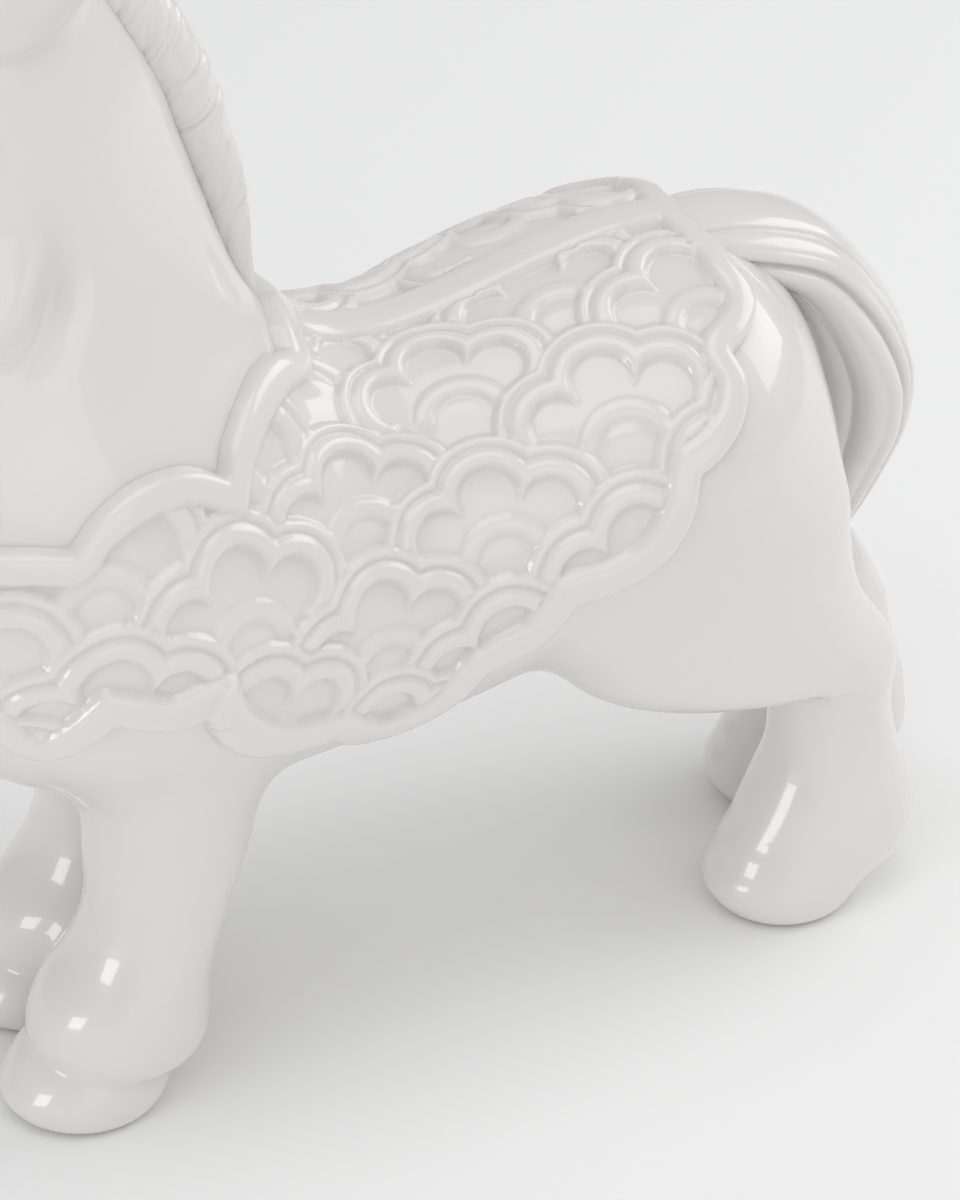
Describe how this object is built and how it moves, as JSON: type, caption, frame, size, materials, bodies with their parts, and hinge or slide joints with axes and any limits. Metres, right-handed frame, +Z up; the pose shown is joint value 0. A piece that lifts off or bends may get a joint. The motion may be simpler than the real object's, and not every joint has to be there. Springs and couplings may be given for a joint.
{
  "type": "foal figurine",
  "caption": "Standing glazed porcelain foal with an upright neck, roached mane, feathered fetlocks and a scalloped saddle cloth in raised cloud scales.",
  "frame": {"origin": "middle of the figurine's bounding box at the level of its soles", "axes": "+Z up, -X the way the foal faces, -Y its left side"},
  "size_m": [0.2954, 0.109, 0.3149],
  "materials": {
    "body_glaze": "clear glossy glaze over white porcelain",
    "hair_glaze": "clear glossy glaze over white porcelain, combed relief",
    "cloth_glaze": "clear glossy glaze over white porcelain, pressed relief"
  },
  "bodies": {
    "root": {"trunk_shell": "body_glaze", "neck_shell": "body_glaze", "head_shell": "body_glaze", "ear_left": "body_glaze", "ear_right": "body_glaze", "mane": "hair_glaze", "tail": "hair_glaze", "foreleg_left": "body_glaze", "foreleg_right": "body_glaze", "hindleg_left": "body_glaze", "hindleg_right": "body_glaze", "saddle_cloth": "cloth_glaze", "cloth_border": "cloth_glaze", "cloud_relief_left": "cloth_glaze", "cloud_relief_right": "cloth_glaze"}
  },
  "joints": []
}
